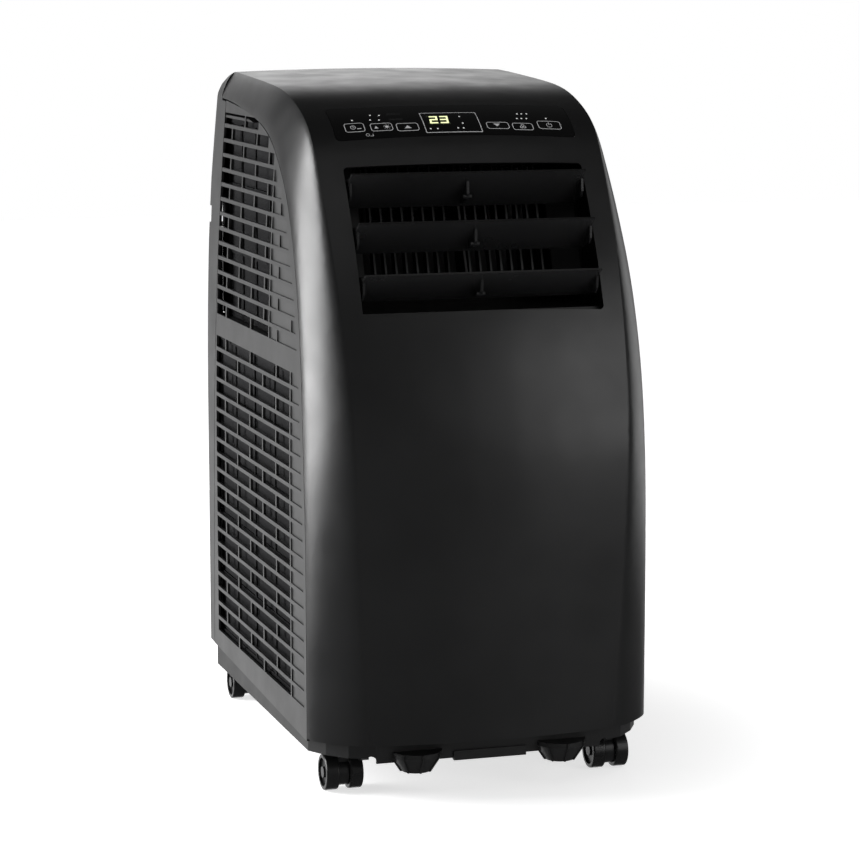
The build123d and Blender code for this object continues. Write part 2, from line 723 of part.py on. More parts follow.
def scroll_outline(axis, radius_start, radius_end, outlet_b, outlet_low, outlet_high, steps=10):
    """Spiral casing outline; the spiral grows from the tongue round to the outlet."""
    b0, z0 = axis
    points = []
    turn = 270.0
    for index in range(steps + 1):
        share = index / steps
        angle = math.radians(180.0 + turn * share)
        radius = radius_start + (radius_end - radius_start) * share
        points.append((b0 + radius * math.cos(angle), z0 + radius * math.sin(angle)))
    points.append((outlet_b, outlet_high))
    points.append((outlet_b, outlet_low))
    return points


def make_evaporator_scroll():
    b0, z0 = BLOWER_AXIS
    x0, x1 = -82.0, 62.0
    outer = side_prism(scroll_outline(BLOWER_AXIS, 54.0, 61.0, 92.4, z0 + 3, z0 + 61.0), x0, x1)
    inner = side_prism(scroll_outline(BLOWER_AXIS, 51.5, 58.5, 80.0, z0 + 5.5, z0 + 58.5), x0 + 2, x1 - 2)
    return outer - inner - rod_x(36, x0 - 5, x1 + 5, back(b0), z0)


def make_blower_wheel(axis, x0, x1, radius, shaft_end, blades=30):
    """Forward-curved wheel: two rings, a hub disc, blades all round and its shaft."""
    b0, z0 = axis
    y0 = back(b0)
    hub_x = x1 - 6.0
    ring_a = rod_x(radius, x0, x0 + 2.5, y0, z0) - rod_x(radius - 11, x0 - 1, x0 + 4, y0, z0)
    disc = rod_x(radius, hub_x, hub_x + 2.5, y0, z0)
    wheel = ring_a + disc
    blade = Pos((x0 + hub_x) / 2, 0, radius - 5.5) * Rot(28, 0, 0) * Box(hub_x - x0, 1.2, 9.5)
    vanes = [Pos(0, y0, z0) * Rot(360 / blades * index, 0, 0) * blade for index in range(blades)]
    shaft = rod_x(4.0, hub_x - 20.0, shaft_end, y0, z0)
    hub = rod_x(11.0, hub_x - 22.0, hub_x + 1.0, y0, z0)
    return wheel + vanes + hub + shaft


def make_blower_motor(axis, x0, length, radius, shaft_r):
    b0, z0 = axis
    y0 = back(b0)
    can = rod_x(radius, x0, x0 + length, y0, z0)
    step = rod_x(radius * 0.55, x0 - 4.0, x0, y0, z0)
    feet = block(x0 + 3, x0 + 6, y0 - radius - 8, y0 + radius + 8, z0 - 6, z0 + 6)
    return (can + step + feet) - rod_x(shaft_r + RUNNING_GAP, x0 - 6, x0 + length * 0.6, y0, z0)


def make_coil(x0, x1, b0, b1, z0, z1, tube_rows):
    """Finned coil: fin pack, end plates and the return bends at both ends."""
    fins = block(x0, x1, back(b0), back(b1), z0, z1)
    grooves = []
    groove_pitch = 14.0
    count = int((x1 - x0 - 20) / groove_pitch)
    for index in range(count):
        x = x0 + 14 + index * groove_pitch
        grooves.append(block(x, x + 1.4, back(b0) - 1, back(b0) + 3, z0 + 4, z1 - 4))
        grooves.append(block(x, x + 1.4, back(b1) - 3, back(b1) + 1, z0 + 4, z1 - 4))
    coil = fins - grooves
    pitch = (z1 - z0 - 24.0) / (tube_rows - 1)
    middle = back((b0 + b1) / 2)
    for index in range(tube_rows - 1):
        z = z0 + 12.0 + pitch * (index + 0.5)
        for x, turn in ((x1, 90), (x0, -90)):
            bend = Rot(90, 0, 0) * Torus(pitch / 2, 3.2)
            keep = block(0, 40, -40, 40, -40, 40) if turn > 0 else block(-40, 0, -40, 40, -40, 40)
            coil = coil + Pos(x, middle, z) * (bend & keep)
    return coil


# ---------------------------------------------------------------- deck and warm half
def make_partition_deck():
    plate = block(-134, 134, back(-2), back(356), DECK_Z - 3.0, DECK_Z)
    tray = block(-128, 128, back(206), back(262), DECK_Z - 8.0, DECK_Z + 12.0)
    tray = tray - block(-125, 125, back(209), back(259), DECK_Z - 5.0, DECK_Z + 20.0)
    deck = plate + tray - block(-125, 125, back(209), back(259), DECK_Z - 5.0, DECK_Z + 20.0)
    spout = rod_y(7.0, DRAIN_X, back(255), back(364), DRAIN_HEIGHTS["upper"])
    bridge = block(DRAIN_X - 5, DRAIN_X + 5, back(262), back(356), DECK_Z - 1, DRAIN_HEIGHTS["upper"] - 4)
    deck = deck + spout + bridge
    deck = deck - rod_y(5.06, DRAIN_X, back(330), back(366), DRAIN_HEIGHTS["upper"])
    deck = deck - rod_y(4.0, DRAIN_X, back(250), back(332), DRAIN_HEIGHTS["upper"])
    for x, b in PIPE_HOLES:
        deck = deck - rod_z(6.0, x, back(b), DECK_Z - 10, DECK_Z + 5)
    return deck


PIPE_HOLES = [(-112.0, 190.0), (-96.0, 190.0)]
WARM_AXIS = (112.0, 205.0)
COMPRESSOR = {"x": -82.0, "back": 50.0, "r": 54.0, "z0": 66.0, "z1": 262.0}


def make_compressor():
    x, y = COMPRESSOR["x"], back(COMPRESSOR["back"])
    can = rod_z(COMPRESSOR["r"], x, y, COMPRESSOR["z0"], COMPRESSOR["z1"])
    can = fillet(can.edges().filter_by(GeomType.CIRCLE), 16)
    lug = rod_z(17.0, x + 28, y + 68, 78, 190)
    neck = block(x + 16, x + 30, y + 40, y + 62, 120, 134)
    body = can + lug + neck
    z0 = COMPRESSOR["z0"] - 3.0
    for mx, my in mount_spots():
        ear = rod_z(12.0, mx, my, z0, z0 + 4.0) + rod_z(12.0, (mx + x) / 2, (my + y) / 2, z0, z0 + 8.0)
        arm = Pos((mx + x) / 2, (my + y) / 2, z0 + 2.0) * Rot(0, 0, math.degrees(math.atan2(my - y, mx - x)))
        body = body + ear + arm * Box(72, 18, 4)
    for mx, my in mount_spots():
        body = body - rod_z(5.0, mx, my, z0 - 5, z0 + 12)
    return body


def mount_spots():
    x, y = COMPRESSOR["x"], back(COMPRESSOR["back"])
    return [(x + 70 * math.cos(a), y + 70 * math.sin(a)) for a in map(math.radians, (10, 130, 250))]


def make_compressor_mounts():
    mounts = []
    for x, y in mount_spots():
        z0 = COMPRESSOR["z0"] - 3.0
        grommet = rod_z(9.0, x, y, BASE_FLOOR, z0 - 0.2) + rod_z(4.8, x, y, z0 - 1, z0 + 6.0)
        mounts.append(grommet + rod_z(8.0, x, y, z0 + 4.2, z0 + 7.0))
    return mounts


def make_condenser_scroll():
    b0, z0 = WARM_AXIS
    x0, x1 = 2.0, 106.0
    radius_end = 78.0

    def outline(inset):
        points = []
        for index in range(11):
            share = index / 10
            angle = math.radians(0.0 - 270.0 * share)
            radius = 66.0 - inset + (radius_end - 66.0) * share
            points.append((b0 + radius * math.cos(angle), z0 + radius * math.sin(angle)))
        end_z = z0 + radius_end - inset
        return points + [(200.0 + inset, end_z), (200.0 + inset, z0 + 26.0 + inset)]

    casing = side_prism(outline(0.0), x0, x1) - side_prism(outline(2.5), x0 + 2.5, x1 - 2.5)
    return casing - rod_x(44, x0 - 5, x1 + 5, back(b0), z0)


def make_exhaust_duct():
    """Carries warm air from the scroll over the condenser to the round collar."""
    def mouth(width, height, y, z, x):
        return Plane(origin=(x, y, z), x_dir=(1, 0, 0), z_dir=(0, 1, 0)) * Rectangle(width, height)

    def ring(radius, y):
        return Plane(origin=(0, y, EXHAUST_Z), x_dir=(1, 0, 0), z_dir=(0, 1, 0)) * Circle(radius)

    first, last = back(204.0), back(318.0)
    outer = loft([mouth(108, 56, first, 258, 54), ring(EXHAUST_R + 2.5, last)])
    inner = loft([mouth(103, 51, first, 258, 54), ring(EXHAUST_R, last)])
    return outer - inner


def make_exhaust_collar():
    y0, y1 = back(318.6), back(368.5)
    seat = back(326.0)
    step = 2.0
    sleeve = rod_y(EXHAUST_R + 3.0, 0, y0, y1, EXHAUST_Z) - rod_y(EXHAUST_R, 0, seat, y1 + 1, EXHAUST_Z)
    sleeve = sleeve - rod_y(EXHAUST_R - step, 0, y0 - 1, y1, EXHAUST_Z)
    flange = rod_y(EXHAUST_R + 12.0, 0, back(362.5), back(366.5), EXHAUST_Z) - rod_y(
        EXHAUST_R + 2, 0, back(360), back(370), EXHAUST_Z)
    bars = []
    for index in range(-4, 5):
        x = index * 14
        bars.append(block(x - 0.9, x + 0.9, back(320), back(323), EXHAUST_Z - 67, EXHAUST_Z + 67))
    grid = [bar & rod_y(EXHAUST_R - 1, 0, back(319), back(324), EXHAUST_Z) for bar in bars]
    return sleeve + flange + grid


def pipe_along(points, radius, bend):
    path = FilletPolyline(*points, radius=bend)
    start = Vector(*points[1]) - Vector(*points[0])
    section = Plane(origin=points[0], z_dir=start) * Circle(radius)
    return sweep(section, path=path)


def make_refrigerant_pipes():
    """Discharge, suction and liquid lines, each a bent copper tube."""
    top = COMPRESSOR["z1"] + 0.5
    x, y = COMPRESSOR["x"], back(COMPRESSOR["back"])
    discharge = pipe_along(
        [(x, y, top), (x, y, 300), (x - 52, y, 300), (x - 52, back(182), 300), (x - 52, back(182), 262),
         (x - 52, back(205.0), 262)], 3.5, 10)
    suction = pipe_along(
        [(x + 28, y + 68, 190.6), (x + 28, y + 68, 320), (-96, y + 68, 320), (-96, back(190), 320),
         (-96, back(190), 440), (-96, back(207.5), 440)], 4.5, 12)
    liquid = pipe_along(
        [
            (-112, back(205), 140), (-112, back(190), 140), (-112, back(190), 470), (-112, back(207.5), 470),
        ],
        2.5, 6)
    return [discharge, suction, liquid]


SLINGER_AXIS = (-60.0, 84.0)


def make_water_slinger():
    x, z = SLINGER_AXIS
    y0 = back(192.0)
    disc = rod_y(40.0, x, y0, y0 + 2.5, z)
    rim = rod_y(40.0, x, y0, y0 + 8.0, z) - rod_y(36.0, x, y0 - 1, y0 + 9, z)
    holes = [Pos(x, 0, z) * Rot(0, 360 / 12 * i, 0) * rod_y(3.0, 30, y0 - 1, y0 + 4, 0) for i in range(12)]
    shaft = rod_y(2.5, x, y0 - 18.0, y0 + 5.0, z)
    return (disc + rim - holes) + shaft


def make_slinger_motor():
    x, z = SLINGER_AXIS
    can = rod_y(20.0, x, back(152.0), back(184.0), z)
    post = block(x - 12, x + 12, back(158.0), back(178.0), BASE_FLOOR, z - 15)
    return (can + post) - rod_y(2.5 + RUNNING_GAP, x, back(168.0), back(190.0), z)


FLOAT_SPOT = (70.0, 300.0)


def make_float_switch():
    x, b = FLOAT_SPOT
    y = back(b)
    base = rod_z(8.0, x, y, BASE_FLOOR, 42.0)
    return base + rod_z(3.0, x, y, 41.0, 72.0) + rod_z(6.0, x, y, 69.5, 72.5)


def make_float():
    x, b = FLOAT_SPOT
    y = back(b)
    return rod_z(10.0, x, y, 42.5, 56.0) - rod_z(3.1, x, y, 41.0, 58.0)


def make_electrical_box():
    box = block(20, 128, back(-30), back(14), 72, 128)
    box = fillet(box.edges().filter_by(Axis.X), 3)
    lid = block(24, 124, back(-32), back(-29.5), 78, 122)
    lugs = [block(x, x + 3, back(14) - 2, back(20), 80, 120) for x in (40, 105)]
    return box + lid + lugs


def make_run_capacitor():
    x, y = 40.0, back(-2.0)
    can = rod_z(17.0, x, y, 136.0, 196.0)
    tabs = [block(x + s * 7 - 3, x + s * 7 + 3, y - 0.5, y + 0.5, 196.0, 204.0) for s in (-1, 1)]
    foot = block(x - 20, x + 20, y - 17, y + 17, 130.0, 137.0)
    return can + tabs + foot


def make_filter(name):
    """Flat filter of the right side: frame, cross bars and mesh sheet."""
    spec = FILTERS[name]
    x0 = spec["x"] - FILTER_THICKNESS / 2
    x1 = spec["x"] + FILTER_THICKNESS / 2
    y0, y1 = back(spec["y0"] + 4), back(spec["y1"])
    z0, z1 = spec["z0"], spec["z1"]
    border = 5.0
    corner = 0.0 if name == "lower" else 72.0
    grip_levels = [z for z in (400.0, 520.0) if z0 < z < z1]
    grip = [(rear_face(z) - 1.0, z) for z in [z0] + grip_levels + [z1]]
    outline = [(spec["y0"] + 4, z0)] + grip + [(spec["y0"] + 4 + corner, z1)]
    if corner:
        outline.append((spec["y0"] + 4, z1 - corner * 0.7))
    slab = side_prism(outline, x0, x1)
    windows = []
    columns, levels = 4, 5 if name == "lower" else 3
    width = (y1 - y0 - 14 - border * (columns + 1)) / columns
    height = (z1 - z0 - border * (levels + 1)) / levels
    for column in range(columns):
        for level in range(levels):
            if corner and column == 0 and level == levels - 1:
                continue
            wy = y0 + border + column * (width + border)
            wz = z0 + border + level * (height + border)
            windows.append(block(x0 - 1, x0 + 1.5, wy, wy + width, wz, wz + height))
            windows.append(block(x1 - 1.5, x1 + 1, wy, wy + width, wz, wz + height))
    return slab - windows


def make_drain_plug(name):
    z = DRAIN_HEIGHTS[name]
    plug = rod_y(5.0, DRAIN_X, back(334), back(365.5), z)
    cap = rod_y(8.6, DRAIN_X, back(365.2), back(369.5), z)
    grip = block(DRAIN_X - 7, DRAIN_X + 7, back(369.0), back(370.0), z - 1.5, z + 1.5)
    return plug + cap + grip


def make_lower_drain_spout():
    z = DRAIN_HEIGHTS["lower"]
    spout = rod_y(7.0, DRAIN_X, back(328), back(364), z) - rod_y(5.06, DRAIN_X, back(330), back(366), z)
    leg = block(DRAIN_X - 6, DRAIN_X + 6, back(330), back(345), BASE_FLOOR, z - 6)
    hole = rod_y(3.0, DRAIN_X, back(320), back(332), z)
    return (spout + leg) - hole - rod_y(5.06, DRAIN_X, back(333), back(366), z)


def make_cord_gland():
    x, z = GLAND_POS
    body = rod_y(7.0, x, back(352), back(367.8), z) + rod_y(10.0, x, back(362.5), back(366.0), z)
    body = body + rod_y(9.5, x, back(367.8) - 4.6, back(367.8) - 1.8, z)
    return body - rod_y(3.8, x, back(340), back(380), z)


# ---------------------------------------------------------------- assembly
def build_all():
    outer = cover_loft(0.0)
    inner = cover_loft(WALL)
    right_panel = make_right_side_panel()
    nodes = {
        "front_cover": make_front_cover(outer, inner),
        "control_panel_lens": make_control_panel_lens(outer, inner),
        "right_side_panel": right_panel,
        "left_side_panel": mirrored(right_panel),
        "rear_cover": make_rear_cover(),
        "base_pan": make_base_pan(),
        "cover_screws": make_screws(),
        "control_board": make_control_board(),
        "display_module": make_display_module(),
        "outlet_duct": make_outlet_duct(),
        "outlet_guard": make_outlet_guard(),
        "louvre_top": make_louvre("top"),
        "louvre_middle": make_louvre("middle"),
        "louvre_bottom": make_louvre("bottom"),
        "louvre_link": make_louvre_link(),
        "louvre_motor": make_louvre_motor(),
        "evaporator_coil": make_coil(-118, 118, 219, 249, 382, 560, 7),
        "evaporator_scroll": make_evaporator_scroll(),
        "evaporator_blower": make_blower_wheel(BLOWER_AXIS, -72, 52, BLOWER_R, 84.0),
        "evaporator_motor": make_blower_motor(BLOWER_AXIS, 70.0, 34.0, 34.0, 4.0),
        "partition_deck": make_partition_deck(),
        "condenser_coil": make_coil(-118, 118, 208, 248, 42, 210, 7),
        "condenser_scroll": make_condenser_scroll(),
        "condenser_blower": make_blower_wheel(WARM_AXIS, 12, 100, 58.0, 122.0),
        "condenser_motor": make_blower_motor(WARM_AXIS, 111.0, 26.0, 32.0, 4.0),
        "exhaust_duct": make_exhaust_duct(),
        "exhaust_collar": make_exhaust_collar(),
        "compressor": make_compressor(),
        "compressor_mounts": make_compressor_mounts(),
        "refrigerant_pipes": make_refrigerant_pipes(),
        "water_slinger": make_water_slinger(),
        "slinger_motor": make_slinger_motor(),
        "float_switch": make_float_switch(),
        "float": make_float(),
        "electrical_box": make_electrical_box(),
        "run_capacitor": make_run_capacitor(),
        "upper_drain_plug": make_drain_plug("upper"),
        "lower_drain_plug": make_drain_plug("lower"),
        "lower_drain_spout": make_lower_drain_spout(),
        "cord_gland": make_cord_gland(),
    }
    for name in FILTERS:
        right = make_filter(name)
        nodes[f"{name}_filter_right"] = right
        nodes[f"{name}_filter_left"] = mirrored(right)
    nodes.update(make_casters())
    return nodes


def as_shape(item):
    """Several loose pieces become one group; a single piece stays as it is."""
    if isinstance(item, (list, tuple)):
        solids = []
        for piece in item:
            solids.extend(piece.solids())
        return Compound(children=solids)
    return item


os.makedirs("parts", exist_ok=True)
for node_name, node_shape in build_all().items():
    export_step(as_shape(node_shape), f"parts/{node_name}.step")
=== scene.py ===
import json
import math

import bpy
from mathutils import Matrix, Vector
from mathutils.bvhtree import BVHTree


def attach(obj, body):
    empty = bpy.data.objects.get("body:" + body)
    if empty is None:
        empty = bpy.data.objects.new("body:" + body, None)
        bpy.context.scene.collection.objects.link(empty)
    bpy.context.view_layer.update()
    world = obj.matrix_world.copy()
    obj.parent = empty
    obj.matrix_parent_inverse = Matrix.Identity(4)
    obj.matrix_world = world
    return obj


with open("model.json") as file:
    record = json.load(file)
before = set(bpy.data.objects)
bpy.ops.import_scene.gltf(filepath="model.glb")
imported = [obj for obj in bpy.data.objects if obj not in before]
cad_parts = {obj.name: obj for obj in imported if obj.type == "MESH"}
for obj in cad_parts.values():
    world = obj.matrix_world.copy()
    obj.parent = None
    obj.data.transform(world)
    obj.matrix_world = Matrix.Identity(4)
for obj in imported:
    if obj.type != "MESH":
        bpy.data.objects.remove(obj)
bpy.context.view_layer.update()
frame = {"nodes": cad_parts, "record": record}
MM = 0.001
NODES = frame["nodes"]
RECORD = frame["record"]
SLOT_OF = {entry["node"]: entry["material_slot"] for entry in RECORD["subparts"]}

# Camera: place in metres, angles in degrees, lens and sensor in millimetres.
CAMERA_PLACE = (-0.79762, -2.5823, 0.71228)
CAMERA_DOWN = 8.8133
CAMERA_TURN = -17.2777
CAMERA_LENS = 122.61
CAMERA_SENSOR = 36.0
CAMERA_REACH = 50.0

# Studio brightness, and the ray directions between which each part of it fades.
WORLD_DARK = 0.05
WORLD_WALL = 2.0
PAPER_SHARE = 0.28
BEHIND_Y = (0.50, 0.80)
WALL_LEFT_X = (-0.24, -0.06)
WALL_RIGHT_X = (0.26, 0.44)
WALL_TOP_Z = (0.24, 0.42)
PAPER_TOP_Z = (-0.22, 0.03)

# Floor: half-width, the distances between which its glow grows, and the lower glow at the object, which
# paints a shade around it.
FLOOR_HALF = 6.0
FLOOR_SHADE = 0.9
GLOW_NEAR = 0.18
GLOW_FAR = 0.48
FLOOR_GLOW_IN_PAINTED_SHADE = 0.66

# Softboxes: place, aimed at, size in metres, power in watts.
SOFTBOXES = {
    "left_softbox": ((-1.45, 0.42, 0.62), (0, -0.12, 0.45), (0.85, 1.15), 40),
    "right_front": ((1.5, -1.95, 0.85), (0.0, -0.15, 0.35), (1.3, 1.6), 13),
    "overhead": ((0.3, -1.45, 2.4), (0.0, -0.1, 0.4), (1.8, 1.2), 2.5),
    "right_side": ((1.6, 0.6, 0.5), (0.1, 0, 0.35), (1.2, 1.2), 4),
}

# Noise sits around a half, so textures are read between these two values.
TEXTURE_LOW = 0.3
TEXTURE_HIGH = 0.7
BRUSH_STRETCH = (1, 1, 40)


# ---------------------------------------------------------------- camera, light and stage
def add_camera():
    data = bpy.data.cameras.new("camera")
    data.lens = CAMERA_LENS
    data.sensor_width = CAMERA_SENSOR
    data.clip_end = CAMERA_REACH
    camera = bpy.data.objects.new("camera", data)
    camera.location = CAMERA_PLACE
    camera.rotation_euler = (math.radians(90 - CAMERA_DOWN), 0.0, math.radians(CAMERA_TURN))
    bpy.context.scene.collection.objects.link(camera)
    bpy.context.scene.camera = camera


def add_area(name, place, target, size, power):
    data = bpy.data.lights.new(name, "AREA")
    data.shape = "RECTANGLE"
    data.size, data.size_y = size
    data.energy = power
    light = bpy.data.objects.new(name, data)
    light.location = place
    direction = Vector(target) - Vector(place)
    light.rotation_euler = direction.to_track_quat("-Z", "Y").to_euler()
    bpy.context.scene.collection.objects.link(light)


def smooth_step(nodes, links, source, low, high, rising=True):
    """Soft 0 to 1 step of a value between two limits, or 1 to 0 when not rising."""
    step = nodes.new("ShaderNodeMapRange")
    step.interpolation_type = "SMOOTHSTEP"
    step.inputs["From Min"].default_value = low
    step.inputs["From Max"].default_value = high
    step.inputs["To Min"].default_value = 0.0 if rising else 1.0
    step.inputs["To Max"].default_value = 1.0 if rising else 0.0
    links.new(source, step.inputs["Value"])
    return step.outputs["Result"]


def multiply(nodes, links, first, second):
    node = nodes.new("ShaderNodeMath")
    node.operation = "MULTIPLY"
    links.new(first, node.inputs[0])
    links.new(second, node.inputs[1])
    return node.outputs[0]


def add_world():
    """Studio: a white wall low behind the object, dark overhead and in front, white to the camera."""
    world = bpy.data.worlds.new("studio")
    world.use_nodes = True
    nodes, links = world.node_tree.nodes, world.node_tree.links
    nodes.clear()
    coords = nodes.new("ShaderNodeTexCoord")
    split = nodes.new("ShaderNodeSeparateXYZ")
    links.new(coords.outputs["Generated"], split.inputs[0])
    behind = smooth_step(nodes, links, split.outputs["Y"], *BEHIND_Y)
    from_left = smooth_step(nodes, links, split.outputs["X"], *WALL_LEFT_X)
    to_right = smooth_step(nodes, links, split.outputs["X"], *WALL_RIGHT_X, rising=False)
    below_top = smooth_step(nodes, links, split.outputs["Z"], *WALL_TOP_Z, rising=False)
    wall = multiply(nodes, links, multiply(nodes, links, from_left, to_right), below_top)
    paper = smooth_step(nodes, links, split.outputs["Z"], *PAPER_TOP_Z, rising=False)
    share = nodes.new("ShaderNodeMath")
    share.operation = "MULTIPLY_ADD"
    share.inputs[1].default_value = PAPER_SHARE
    links.new(paper, share.inputs[0])
    links.new(wall, share.inputs[2])
    bright = multiply(nodes, links, behind, share.outputs[0])
    ramp = nodes.new("ShaderNodeValToRGB")
    ramp.color_ramp.elements[0].color = (WORLD_DARK, WORLD_DARK, WORLD_DARK, 1)
    ramp.color_ramp.elements[1].color = (WORLD_WALL, WORLD_WALL, WORLD_WALL, 1)
    links.new(bright, ramp.inputs["Fac"])
    lit = nodes.new("ShaderNodeBackground")
    links.new(ramp.outputs["Color"], lit.inputs["Color"])
    seen = nodes.new("ShaderNodeBackground")
    seen.inputs["Color"].default_value = (1, 1, 1, 1)
    mix = nodes.new("ShaderNodeMixShader")
    path = nodes.new("ShaderNodeLightPath")
    out = nodes.new("ShaderNodeOutputWorld")
    links.new(path.outputs["Is Camera Ray"], mix.inputs["Fac"])
    links.new(lit.outputs[0], mix.inputs[1])
    links.new(seen.outputs[0], mix.inputs[2])
    links.new(mix.outputs[0], out.inputs["Surface"])
    bpy.context.scene.world = world


def add_floor():
    """White paper that glows more away from the object, so only the shadows near it show; the weaker glow
    near the object is painted shade added to the real contact shadows.
    """
    half = FLOOR_HALF
    corners = [(-half, -half, 0), (half, -half, 0), (half, half, 0), (-half, half, 0)]
    mesh = bpy.data.meshes.new("floor")
    mesh.from_pydata(corners, [], [(0, 1, 2, 3)])
    floor = bpy.data.objects.new("floor", mesh)
    bpy.context.scene.collection.objects.link(floor)
    material = bpy.data.materials.new("floor_paper")
    material.use_nodes = True
    nodes, links = material.node_tree.nodes, material.node_tree.links
    shader = nodes["Principled BSDF"]
    shader.inputs["Base Color"].default_value = (FLOOR_SHADE, FLOOR_SHADE, FLOOR_SHADE, 1)
    shader.inputs["Roughness"].default_value = 0.9
    shader.inputs["Emission Color"].default_value = (1, 1, 1, 1)
    coords = nodes.new("ShaderNodeTexCoord")
    length = nodes.new("ShaderNodeVectorMath")
    length.operation = "LENGTH"
    links.new(coords.outputs["Object"], length.inputs[0])
    # Glow is lowest near the object: a painted shade around it on the floor, fading out with distance.
    glow = nodes.new("ShaderNodeMapRange")
    glow.interpolation_type = "SMOOTHSTEP"
    glow.inputs["From Min"].default_value = GLOW_NEAR
    glow.inputs["From Max"].default_value = GLOW_FAR
    glow.inputs["To Min"].default_value = FLOOR_GLOW_IN_PAINTED_SHADE
    glow.inputs["To Max"].default_value = 1.0
    links.new(length.outputs["Value"], glow.inputs["Value"])
    links.new(glow.outputs["Result"], shader.inputs["Emission Strength"])
    mesh.materials.append(material)
    floor.visible_glossy = False


def set_stage():
    add_camera()
    add_world()
    add_floor()
    for name, (place, target, size, power) in SOFTBOXES.items():
        add_area(name, place, target, size, power)
    view = bpy.context.scene.view_settings
    view.view_transform = "Standard"
    view.look = "None"


# ---------------------------------------------------------------- materials
class Graph:
    """Small helper around one material's nodes."""

    def __init__(self, name, colour, roughness, metallic=0.0):
        self.material = bpy.data.materials.new(name)
        self.material.use_nodes = True
        self.nodes = self.material.node_tree.nodes
        self.links = self.material.node_tree.links
        self.shader = self.nodes["Principled BSDF"]
        self.shader.inputs["Base Color"].default_value = (*colour, 1)
        self.shader.inputs["Roughness"].default_value = roughness
        self.shader.inputs["Metallic"].default_value = metallic
        coords = self.nodes.new("ShaderNodeTexCoord")
        self.coords = coords.outputs["Object"]

    def noise(self, scale, detail=2.0, stretch=None):
        source = self.coords
        if stretch:
            mapping = self.nodes.new("ShaderNodeMapping")
            mapping.inputs["Scale"].default_value = stretch
            self.links.new(source, mapping.inputs["Vector"])
            source = mapping.outputs["Vector"]
        node = self.nodes.new("ShaderNodeTexNoise")
        node.inputs["Scale"].default_value = scale
        node.inputs["Detail"].default_value = detail
        self.links.new(source, node.inputs["Vector"])
        return node.outputs["Fac"]

    def vary(self, socket, fac, low, high):
        """Lets a texture move a shader input between two values."""
        ramp = self.nodes.new("ShaderNodeMapRange")
        ramp.inputs["From Min"].default_value = TEXTURE_LOW
        ramp.inputs["From Max"].default_value = TEXTURE_HIGH
        ramp.inputs["To Min"].default_value = low
        ramp.inputs["To Max"].default_value = high
        self.links.new(fac, ramp.inputs["Value"])
        self.links.new(ramp.outputs["Result"], self.shader.inputs[socket])

    def tint(self, fac, dark, light):
        ramp = self.nodes.new("ShaderNodeValToRGB")
        ramp.color_ramp.elements[0].position = TEXTURE_LOW
        ramp.color_ramp.elements[0].color = (*dark, 1)
        ramp.color_ramp.elements[1].position = TEXTURE_HIGH
        ramp.color_ramp.elements[1].color = (*light, 1)
        self.links.new(fac, ramp.inputs["Fac"])
        self.links.new(ramp.outputs["Color"], self.shader.inputs["Base Color"])

    def bump(self, height, strength, distance):
        node = self.nodes.new("ShaderNodeBump")
        node.inputs["Strength"].default_value = strength
        node.inputs["Distance"].default_value = distance
        self.links.new(height, node.inputs["Height"])
        self.links.new(node.outputs["Normal"], self.shader.inputs["Normal"])


def grey(value):
    return (value, value, value * 1.03)


def moulded_plastic(name, value, roughness, grain=900.0, depth=0.00004, spread=0.15):
    """Moulded plastic: fine spark-eroded grain, faint clouding and uneven gloss."""
    graph = Graph(name, grey(value), roughness)
    graph.tint(graph.noise(9.0, 3.0), grey(value * (1 - spread)), grey(value * (1 + spread)))
    graph.vary("Roughness", graph.noise(28.0, 4.0), roughness - 0.03, roughness + 0.04)
    graph.bump(graph.noise(grain, 2.0), 0.35, depth)
    return graph.material


def brushed_metal(name, colour, roughness):
    graph = Graph(name, colour, roughness, 1.0)
    streaks = graph.noise(60.0, 4.0, BRUSH_STRETCH)
    graph.tint(streaks, tuple(c * 0.82 for c in colour), tuple(min(1.0, c * 1.1) for c in colour))
    graph.vary("Roughness", graph.noise(90.0, 3.0), roughness - 0.06, roughness + 0.1)
    graph.bump(streaks, 0.25, 0.00005)
    return graph.material


def painted_metal(name, value, roughness):
    graph = Graph(name, grey(value), roughness)
    graph.tint(graph.noise(14.0, 4.0), grey(value * 0.8), grey(value * 1.2))
    graph.vary("Roughness", graph.noise(50.0, 3.0), roughness - 0.05, roughness + 0.08)
    graph.bump(graph.noise(260.0, 2.0), 0.4, 0.00008)
    return graph.material


def gloss_panel(name):
    graph = Graph(name, grey(0.003), 0.06)
    graph.shader.inputs["Specular IOR Level"].default_value = 0.14
    graph.shader.inputs["Coat Weight"].default_value = 0.6
    graph.shader.inputs["Coat Roughness"].default_value = 0.03
    graph.vary("Roughness", graph.noise(40.0, 3.0), 0.05, 0.09)
    graph.bump(graph.noise(15.0, 1.0), 0.1, 0.0001)
    return graph.material


def circuit_board(name):
    graph = Graph(name, (0.02, 0.12, 0.05), 0.4)
    graph.tint(graph.noise(120.0, 5.0), (0.012, 0.08, 0.03), (0.03, 0.16, 0.07))
    graph.bump(graph.noise(400.0, 2.0), 0.4, 0.0001)
    return graph.material


def finned_aluminium(name):
    """Stacked thin fins: a fine wave across the width of the coil, whose dark bands are painted shade in the
    gaps between the fins.
    """
    graph = Graph(name, (0.6, 0.61, 0.63), 0.34, 1.0)
    wave = graph.nodes.new("ShaderNodeTexWave")
    wave.bands_direction = "X"
    wave.inputs["Scale"].default_value = 180.0
    wave.inputs["Distortion"].default_value = 0.4
    graph.links.new(graph.coords, wave.inputs["Vector"])
    # Dark bands are painted shade between the fins; light bands are the fin metal.
    graph.tint(wave.outputs["Fac"], (0.16, 0.165, 0.17), (0.66, 0.67, 0.69))
    graph.bump(wave.outputs["Fac"], 0.8, 0.0008)
    return graph.material


